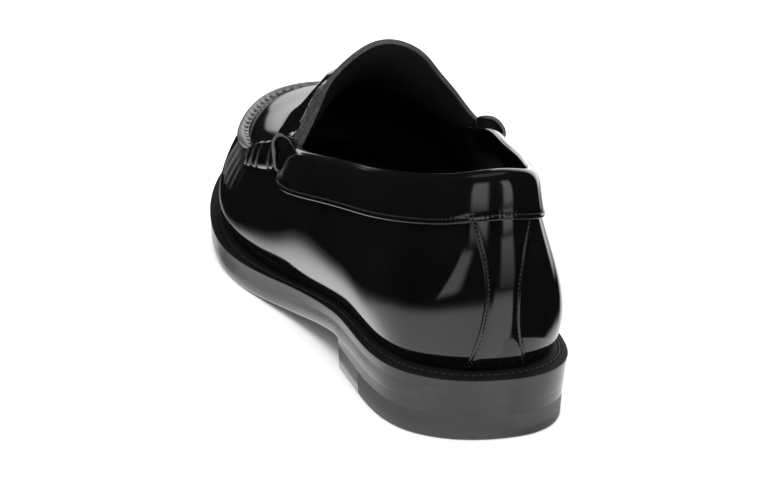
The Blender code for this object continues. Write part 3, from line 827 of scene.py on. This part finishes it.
def makeStrap():
    spec = saddleStrap
    s = frontRounds(spec["startY"], spec["columns"] + 1)
    y = yAt(s)
    long = np.linalg.norm(tongueLines(s)[1], axis=1)
    low = -np.interp(y, *np.array(spec["front"]).T)
    high = np.minimum(spec["topShare"] * long, np.interp(y, *np.array(spec["back"]).T))
    high = high * (1 - spec["medialLower"] * soft(s, toeRound - 20, toeRound + 20))
    across = np.linspace(0, 1, spec["rows"] + 1)
    a = low[:, None] + (high - low)[:, None] * across[None, :]
    turned = np.array(spec["turned"])
    a = np.column_stack([low[:, None] + turned[None, :, 0], a])
    face = instepFace(s, a)
    ahead = instepFace(s, a + 0.5) - instepFace(s, a - 0.5)
    normal = unit(np.cross(ahead, instepFace(s + 0.5, a) - instepFace(s - 0.5, a)))
    first, end = spec["height"]
    crown = first + (end - first) * across + spec["crest"] * np.sin(np.pi * across)
    crown = np.concatenate([turned[:, 1], crown])
    start, full, least = spec["flatEnds"]
    flat = least + (1 - least) * soft(y, start, full)
    crown = np.minimum(crown, end) + flat[:, None] * np.maximum(crown - end, 0)
    piece = layGrid("saddle_strap_leather", (face + normal * crown[..., None])[::-1])
    thicken(piece, spec["thick"], [leather, lining, cutEdge], 1, 2)
    roundEdges(piece, spec["edgeRound"])
    finishPiece(piece, [], ["saddle_strap"], 45)
    print("saddle strap done")


def rollRing(side, along, angle, share, inset=0.0):
    spec = rolls
    along = np.asarray(along, float)
    s = roundAt(spec["startY"][side], side) - side * along
    rise = np.interp(along, *np.array(spec["rise"])[:, [0, 1 if side < 0 else 2]].T)
    v = ribShare(s, rise[:, None])[:, 0]
    point, normal, up = frameAt(s, v)
    half, high = np.moveaxis(through(spec["shape"], along), -1, 0)
    turn = np.arange(8) * np.pi / 4
    share = np.broadcast_to(share, (len(along), len(angle)))
    rings = []
    for shape in (spec["body"], spec["mouth"][side]):
        ring = spline(turn, shape, angle, 2 * np.pi)
        rings.append((ring, ring[:-1].mean(0)))
    (ring, middle), (mouth, heart) = rings
    across = (middle[0] + (ring[:, 0] - middle[0])[None, :] * share) * half[:, None]
    out = (middle[1] + (ring[:, 1] - middle[1])[None, :] * share) * high[:, None]
    mouth = heart + (mouth - heart)[None] * share[..., None]
    near = 1 - soft(along, 0, spec["mouthRun"])[:, None]
    across = across + (mouth[..., 0] - across) * near
    out = out + (mouth[..., 1] - out) * near
    # the wall is thick outside and thin towards the shoe
    thick = 0.25 + 0.75 * soft(np.sin(angle), -0.5, 0.3)
    wall = np.broadcast_to(inset, len(along))[:, None] * thick[None, :]
    toMiddle = np.stack([heart[0] - across, heart[1] - out], -1)
    toMiddle = toMiddle / np.maximum(np.linalg.norm(toMiddle, axis=-1, keepdims=True), 1e-6)
    across = across + toMiddle[..., 0] * wall
    out = out + toMiddle[..., 1] * wall + spec["gap"]
    return point[:, None] + up[:, None] * across[..., None] + normal[:, None] * out[..., None]


def rollShare(along, angle):
    spec = rolls
    dips = sum(bell(along, w, spec["wrapHalf"]) for w in spec["wraps"])
    between = np.clip(1 - dips, 0, 1) * soft(along, 3, 9)
    between = between * (1 - soft(along, spec["length"] - 4, spec["length"]))
    folds = np.sin(5 * angle[None, :] + 0.9) * 0.6
    folds = folds + np.sin(9 * angle[None, :] + along[:, None] * 0.08) * 0.4
    return 1 - spec["wrapDepth"] * dips[:, None] + spec["foldDepth"] * between[:, None] * folds


def makeRoll(name, node, side):
    spec = rolls
    angle = np.linspace(0, 2 * np.pi, spec["around"] + 1)
    long = spec["length"]
    hole, holeShare, holeInset = np.array(spec["bore"]).T
    lip, lipInset = np.array(spec["lip"]).T
    body = np.concatenate([lip, np.linspace(1.0, long, spec["rows"]), [long]])
    over, narrow = spec["tip"]
    share = rollShare(body, angle) * (1 - narrow * soft(body, long - over, long)[:, None])
    share[-1] = 0.0
    share = np.vstack([np.repeat(holeShare[:, None], len(angle), axis=1), share])
    along = np.concatenate([spec["boreDepth"] * hole, body])
    inset = spec["wall"] * np.concatenate([holeInset, lipInset, np.zeros(len(body) - len(lip))])
    points = np.swapaxes(rollRing(side, along, angle, share, inset), 0, 1)
    points[-1] = points[0]
    slots = [2] * 4 + [1] * 5 + [0] * (len(along) - 10)  # hollow, cut rim, outside
    piece = layGrid(name, points, rowSlots=slots, closed=True)
    finishPiece(piece, [leather, satin, weltTop], [node], 60)
    makeWraps(name + "_thread", side, angle)
    print(name, "done")


# Two threads lie side by side in each dip of the roll
def makeWraps(name, side, angle):
    spec = rolls
    wrap = np.linspace(0, 2 * np.pi, 13)[None, :, None]
    half = spec["threadThick"] / 2
    apart = spec["threadApart"] / 2
    grids = []
    for w in spec["wraps"]:
        for shift in (-apart, apart):
            centre = np.array([w + shift])
            share = rollShare(centre, angle)
            base = rollRing(side, centre, angle, share + 0.015)[0]
            ahead = rollRing(side, centre + 0.2, angle, share + 0.015)[0]
            way = unit(ahead - base)[:, None]
            out = unit(rollRing(side, centre, angle, share + 0.2)[0] - base)[:, None]
            ring = base[:, None] + half * (np.cos(wrap) * out + np.sin(wrap) * way)
            ring[-1] = ring[0]
            ring[:, -1] = ring[:, 0]
            grids.append(layGrid(f"{name}_{len(grids)}", ring, closed=True))
    finishPiece(joinAll(grids, name), [wrapThread], angle=60)


soleSet = {
    "endFlat": 1.0,
    "weltThick": 3.4,
    "weltInside": 13.0,
    "outsoleThick": 5.2,
    "outsoleBevel": 0.8,
    "heelLength": 76.0,
    "heelTaper": 0.8,
    "liftThick": 8.4,
    "liftBevel": 0.6,
    "splitY": 50.0,
    "seam": 0.005,  # the fine line where two layers meet
    "rimLift": (85.0, 130.0, 1.2),  # between these y the welt's rim comes to stand up by
    "lean": 0.5,  # the edge leans in downwards by this from the welt to the outsole and again below
    "rows": 210,
    "stitchPitch": 2.5,
    "stitchShare": 0.5,  # of the welt's width, in from its rim
    "stitch": (1.9, 0.75, 0.6),
    "insoleThick": 3.0,
    "insoleClear": 0.7,
}


def pairedRounds(firstY, lastY, rows):
    start = max(roundAt(firstY, -1), soleSet["endFlat"])
    end = min(roundAt(lastY, -1), toeRound - soleSet["endFlat"])
    lateral = np.linspace(start, end, rows)
    medial = roundAt(yAt(lateral), 1)
    return np.concatenate([lateral, medial[::-1]])


# Heights at y: under the outsole, between outsole and welt, and up the welt by a share of its rise
def soleLow(y):
    return np.maximum(rimZ(y) - soleSet["weltThick"] - soleSet["outsoleThick"] - 0.3, 0)


def soleTop(y):
    return rimZ(y) - soleSet["weltThick"]


def seat(share, by=0.0):
    return lambda y: rimZ(y) + last["weltRise"] * share + by


def raised(height, by):
    return lambda y: height(y) + by


# One layer of the sole from rings: inset, height and share of the way to the middle line
def makeLayer(name, s, levels, materials, nodes, slots=None, angle=35):
    edge, normal = outlineAt(s)
    rows = []
    for inset, height, share in levels:
        plan = edge - normal * np.broadcast_to(inset, len(s))[:, None]
        plan = plan + ((plan + plan[::-1]) / 2 - plan) * share
        z = height(plan[:, 1]) if callable(height) else np.full(len(s), float(height))
        rows.append(np.column_stack([plan, z]))
    points = np.stack(rows, axis=1)
    points = np.concatenate([points, points[:1]])
    uv = np.empty((*points.shape[:2], 2))
    uv[..., 0] = np.append(s, s[0] + roundLength)[:, None]
    uv[..., 1] = runAlong(points[0])[None, :]
    piece = layGrid(name, points, uv, slots, closed=True)
    finishPiece(piece, materials, nodes, angle)


def makeOutsole(s):
    spec = soleSet
    seam = spec["seam"]
    lean = spec["lean"]
    # over the heel the outsole keeps its full edge
    start = spec["heelLength"] - 2
    bevel = 0.01 + spec["outsoleBevel"] * soft(yAt(s), start, start + 8)
    tread = bevel + lean
    levels = [
        (tread, soleLow, 1), (tread, soleLow, 0.5), (tread, soleLow, 0.02), (tread, soleLow, 0),
        (lean + bevel * 0.5, raised(soleLow, bevel * 0.25), 0),
        (lean + bevel * 0.12, raised(soleLow, bevel * 0.7), 0),
        (lean * 0.85, raised(soleLow, 0.3 + bevel), 0), (lean * 0.3, raised(soleTop, -1.5), 0),
        (0, raised(soleTop, -seam), 0), (seam, soleTop, 0), (seam + 2, soleTop, 0), (seam, soleTop, 1),
    ]
    slots = [1] * 3 + [0] * 8
    makeLayer("outsole_leather", s, levels, [soleEdge, treadLeather], ["outsole"], slots)


def makeWelt(s):
    spec = soleSet
    seam = spec["seam"]
    lean = spec["lean"]
    inside = spec["weltInside"]
    groove = spec["stitchShare"]
    width = weltWidth(s)
    first, end, high = spec["rimLift"]
    up = high * soft(yAt(s), first, end)
    levels = [(inside, soleTop, 0), (seam, soleTop, 0), (0, raised(soleTop, seam), 0)]
    # the rim: in from the edge, below its height
    rim = [
        (-lean * 0.6, 1.4), (-lean * 0.9, 0.35), (0.03 - lean, 0.15), (0.13 - lean, 0.04),
        (0.3 - lean, 0.01),
    ]
    levels += [(inset, raised(rimZ, up - below), 0) for inset, below in rim]
    levels.append((0.6 - lean, seat(0.02, up), 0))
    # the stitches' groove: place across it, share of the rim's lift, depth
    for aside, lift, depth in [(-0.17, 0.5, 0), (-0.1, 0.4, 0.25), (0.1, 0.2, 0.25), (0.17, 0.1, 0)]:
        levels.append((width * (groove + aside), seat(groove + aside, up * lift - depth), 0))
    levels += [(width - 0.1, seat(1.0), 0), (inside, seat(1.0), 0), (inside, soleTop, 0)]
    slots = [0] * 6 + [1] * 9
    makeLayer("welt_leather", s, levels, [soleEdge, weltTop], ["welt"], slots, 30)
    around = np.linspace(0, roundLength, 1600)
    edge, out = outlineAt(around)
    plan = edge - out * (weltWidth(around) * groove)[:, None]
    lift = 0.3 * high * soft(edge[:, 1], first, end)
    line = np.column_stack([plan, rimZ(plan[:, 1]) + last["weltRise"] * groove + lift - 0.05])
    upright = np.tile([0.0, 0.0, 1.0], (len(line), 1))
    places = stitchPlaces(line, upright, spec["stitchPitch"])
    sewRow("welt_stitches", places, spec["stitch"], weltThread)


def makeHeel():
    spec = soleSet
    seam = spec["seam"]
    lean = spec["lean"]
    lift = spec["liftThick"]
    cut = spec["liftBevel"]
    half = lean + spec["heelTaper"] / 2
    foot = lean + spec["heelTaper"]
    levels = [
        (half + seam, lift, 1), (half + seam, lift, 0), (half, lift + seam, 0),
        (lean + spec["heelTaper"] / 4, 10.5, 0), (lean, raised(soleLow, -seam), 0),
        (lean + seam, soleLow, 0), (lean + seam, soleLow, 1),
    ]
    heel = pairedRounds(0, spec["heelLength"], 110)
    makeLayer("heel_layers", heel, levels, [soleEdge], ["heel_stack"])
    levels = [
        (foot + cut, 0, 1), (foot + cut, 0, 0.02), (foot + cut, 0, 0), (foot + cut * 0.3, cut * 0.4, 0),
        (foot, cut, 0), ((foot + half) / 2, lift / 2, 0), (half, lift - seam, 0), (half + seam, lift, 0),
        (half + seam, lift, 1),
    ]
    rear = pairedRounds(0, spec["splitY"], 90)
    makeLayer("heel_rubber_lift", rear, levels, [rubber], ["top_lift"])
    corner = pairedRounds(spec["splitY"] + 0.15, spec["heelLength"], 30)
    makeLayer("heel_corner_leather", corner, levels, [soleEdge], ["top_lift_front"])
    print("heel done")


def makeInsole(s):
    spec = soleSet
    inset = weltWidth(s) + upperLeather["wall"] + spec["insoleClear"]
    thick = spec["insoleThick"]
    # in from the upper, height over the welt's seat, share of the way to the middle line
    rings = [
        (0, -0.2, 1), (0, -0.2, 0), (0, thick - 0.7, 0), (0.25, thick - 0.2, 0), (0.9, thick, 0),
        (4, thick - 0.1, 0), (4, thick - 0.4, 0.5), (4, thick - 0.4, 1),
    ]
    levels = [(inset + more, seat(1.0, by), share) for more, by, share in rings]
    makeLayer("insole_sock", s, levels, [lining], ["insole"], angle=50)
    print("sole done")


makeUpper()
makeCollarBand()
makeBackStrip()
makeApronSeam()
makeStrap()
makeTongue()
makeRoll("roll_lateral_leather", "roll_lateral", -1)
makeRoll("roll_medial_leather", "roll_medial", 1)
soleRounds = pairedRounds(0, last["length"], soleSet["rows"])
makeOutsole(soleRounds)
makeWelt(soleRounds)
makeHeel()
makeInsole(soleRounds)

# Stage: pale floor, soft light from above, cards that only the shine sees
stage = {
    "floorSize": 14.0,
    "floorColour": 0.8,
    "overhead": 92.0,
    "overheadSize": 2.4,
    "overheadHeight": 1.9,
    "world": 0.85,
    # What the shine sees, as directions from the shoe: azimuth from its back, + to the medial side, and
    # elevation. The pale ground: azimuth, where its upper border lies and how bright it is there
    "ground": [
        (-180, -17.5, 1.1), (-176, -19, 1.1), (-170, -22.5, 1.5), (-160, -24, 1.85), (-150, -23.5, 1.6),
        (-140, -21.5, 1.2), (-120, -19, 1.15), (-105, -19, 1.3), (-90, -19.5, 1.5), (-60, -20.5, 1.7),
        (-30, -20.5, 1.65), (-5, -21, 1.6), (5, -19, 1.6), (10, -16, 1.7), (27, -15, 1.75),
        (30, -24, 1.6), (33, -40, 1.5), (60, -46, 1.3), (85, -44, 1.3), (105, -32, 1.3),
        (120, -25, 1.4), (132, -22, 1.4),
        (140, -15, 1.3), (150, -9, 1.2), (160, -9, 1.1), (164, -13, 1), (167, -18, 0.9),
        (176, -17, 1.1), (180, -17.5, 1.1),
    ],
    # degrees below the border, share of the brightness
    "groundRows": [
        (60, 1), (30, 1), (15, 1), (8, 1), (4, 0.95), (2, 0.8), (0.7, 0.6), (-0.7, 0.3), (-2, 0.1),
        (-4, 0),
    ],
    "dim": 0.007,  # everything else that the shine sees
    "far": 5.0,
    # corners low left, low right, high left, high right; strength low and high; soft share at left,
    # right, foot and top
    "cards": {
        "bar_collar_left": ([(-31, 2), (1, 2), (-31, 40), (1, 40)], (1.6, 2.0), (0.2, 0.2, 0.2, 0.3)),
        "bar_heel_left": ([(-66, -15), (-28, -13), (-36, 3), (-16, 3)], (1.5, 1.3), (0.08, 0.4, 0.2, 0.12)),
        "bar_right": ([(12, -14), (31, -14), (12, 5), (29, 5)], (0.3, 1.5), (0.2, 0.25, 0.1, 0.0)),
        "bar_collar_right": ([(14, 4), (29, 4), (14, 40), (29, 40)], (2.0, 2.2), (0.2, 0.2, 0.1, 0.3)),
        "backdrop_left": ([(166, -12.5), (179, -1.2), (166, 6), (179, 6.4)], (0.7, 1.7),
                          (0.02, 0, 0.05, 0.1)),
        "backdrop_right": ([(179, -1.2), (189, 4.6), (179, 6.4), (189, 7)], (0.7, 1.9), (0, 0.02, 0.1, 0.1)),
        "far_top": ([(122, -13), (166, -13), (122, 58), (166, 58)], (1.8, 1.8), (0.2, 0.05, 0.02, 0.2)),
        "overhead_soft": ([(-110, 66), (110, 66), (-110, 89), (110, 89)], (0.6, 0.6), (0.1, 0.1, 0.2, 0)),
    },
    # a soft card close in front of the lateral vamp: x from and to, y, z from and to, strength
    "glow": (-105.0, -38.0, 345.0, 1.0, 46.0, 0.3),
    # the floor close beside the heel's medial side: start and length round, distance from and to, strength
    "nearFloor": (10.0, 90.0, 3.0, 34.0, 1.4),
    "view": {"place": (-0.34482, -1.25690, 0.45526), "aim": (0.01082, 0.03295, 0.01039), "roll": 1.785,
             "lens": 176.25},
}


def makeFloor():
    deselect()
    bpy.ops.mesh.primitive_grid_add(x_subdivisions=8, y_subdivisions=8, size=stage["floorSize"])
    floor = bpy.context.object
    floor.name = "floor"
    made, tree, shader = newMaterial("floor_paper", 0.7)
    shader.inputs["Specular IOR Level"].default_value = 0.1
    mottle = addNoise(tree, "Object", 3.0, 2.0)
    c = stage["floorColour"]
    addRamp(tree, mottle, shader.inputs["Base Color"], (0.2, c - 0.01), (0.8, c + 0.01))
    floor.data.materials.append(made)
    floor.visible_glossy = False


# Points far off at given directions
def farPoints(turn, lift, far):
    turn = np.radians(turn)
    lift = np.radians(lift)
    way = np.stack([np.cos(lift) * np.sin(turn), -np.cos(lift) * np.cos(turn), np.sin(lift)], -1)
    return way * far / mm - root


# A card as bright as level, which only the shine sees
def makeCard(name, points, level):
    card = layGrid(name, points, np.stack([level, level * 0], -1))
    made = bpy.data.materials.new(name)
    made.use_nodes = True
    tree = made.node_tree
    tree.nodes.remove(tree.nodes["Principled BSDF"])
    place = tree.nodes.new("ShaderNodeTexCoord")
    first = tree.nodes.new("ShaderNodeSeparateXYZ")
    lamp = tree.nodes.new("ShaderNodeEmission")
    tree.links.new(place.outputs["UV"], first.inputs["Vector"])
    tree.links.new(first.outputs["X"], lamp.inputs["Strength"])
    tree.links.new(lamp.outputs["Emission"], tree.nodes["Material Output"].inputs["Surface"])
    card.data.materials.append(made)
    card.visible_camera = card.visible_diffuse = False
    card.visible_shadow = card.visible_transmission = False


def makeSurroundings():
    spec = stage
    turn, border, bright = np.array(spec["ground"], float).T
    at = np.linspace(-180, 180, 241)
    down, left = np.array(spec["groundRows"]).T
    lift = np.maximum(np.interp(at, turn, border)[:, None] - down[None, :], -89)
    level = np.interp(at, turn, bright)[:, None] * left[None, :]
    at = np.repeat(at[:, None], len(down), axis=1)
    makeCard("pale_ground", farPoints(at, lift, spec["far"] * 1.1), level)
    u, v = np.meshgrid(np.linspace(0, 1, 37), np.linspace(0, 1, 25), indexing="ij")
    for name, (corners, strength, fade) in spec["cards"].items():
        lowLeft, lowRight, highLeft, highRight = np.array(corners, float)
        foot = lowLeft * (1 - u[..., None]) + lowRight * u[..., None]
        top = highLeft * (1 - u[..., None]) + highRight * u[..., None]
        way = foot * (1 - v[..., None]) + top * v[..., None]
        edge = soft(u, -0.001, fade[0]) * soft(1 - u, -0.001, fade[1])
        edge = edge * soft(v, -0.001, fade[2]) * soft(1 - v, -0.001, fade[3])
        level = edge * (strength[0] * (1 - v) + strength[1] * v)
        makeCard(name, farPoints(way[..., 0], way[..., 1], spec["far"]), level)
    start, length, first, end, bright = spec["nearFloor"]
    edge, normal = outlineAt(roundLength - start - u * length)
    plan = edge + normal * (first + (end - first) * v)[..., None]
    points = np.concatenate([plan, np.full((*u.shape, 1), 0.3)], -1)
    makeCard("near_floor", points, np.full(u.shape, bright))
    left, right, ahead, low, high, strength = spec["glow"]
    points = np.stack([left + (right - left) * u, np.full(u.shape, ahead), low + (high - low) * v], -1)
    level = strength * soft(u, 0, 1.1) * (1 - soft(v, 0.3, 1)) * soft(1 - u, -0.001, 0.05)
    makeCard("front_glow", points, level)


def makeLight():
    spec = stage
    deselect()
    bpy.ops.object.light_add(type="AREA", location=(0.0, 0.0, spec["overheadHeight"]))
    lamp = bpy.context.object
    lamp.name = "overhead"
    lamp.data.size = spec["overheadSize"]
    lamp.data.energy = spec["overhead"]
    lamp.visible_glossy = False
    makeSurroundings()
    world = bpy.data.worlds.new("studio")
    bpy.context.scene.world = world
    world.use_nodes = True
    tree = world.node_tree
    sky = tree.nodes["Background"]
    sky.inputs["Color"].default_value = (1, 1, 1, 1)
    path = tree.nodes.new("ShaderNodeLightPath")
    level = tree.nodes.new("ShaderNodeMapRange")
    level.inputs["To Min"].default_value = spec["world"]
    level.inputs["To Max"].default_value = spec["dim"]
    tree.links.new(path.outputs["Is Glossy Ray"], level.inputs["Value"])
    tree.links.new(level.outputs["Result"], sky.inputs["Strength"])


def makeCamera():
    spec = stage["view"]
    place = Vector(spec["place"])
    deselect()
    bpy.ops.object.camera_add(location=place)
    camera = bpy.context.object
    camera.name = "photo_view"
    camera.rotation_mode = "QUATERNION"
    look = (Vector(spec["aim"]) - place).to_track_quat("-Z", "Y")
    camera.rotation_quaternion = look @ Quaternion((0, 0, 1), math.radians(spec["roll"]))
    camera.data.sensor_width = 36
    camera.data.lens = spec["lens"]
    camera.data.clip_start = 0.05
    bpy.context.scene.camera = camera


makeFloor()
makeLight()
makeCamera()
bpy.context.scene.view_settings.view_transform = "Standard"
print("stage set")

bpy.context.view_layer.update()
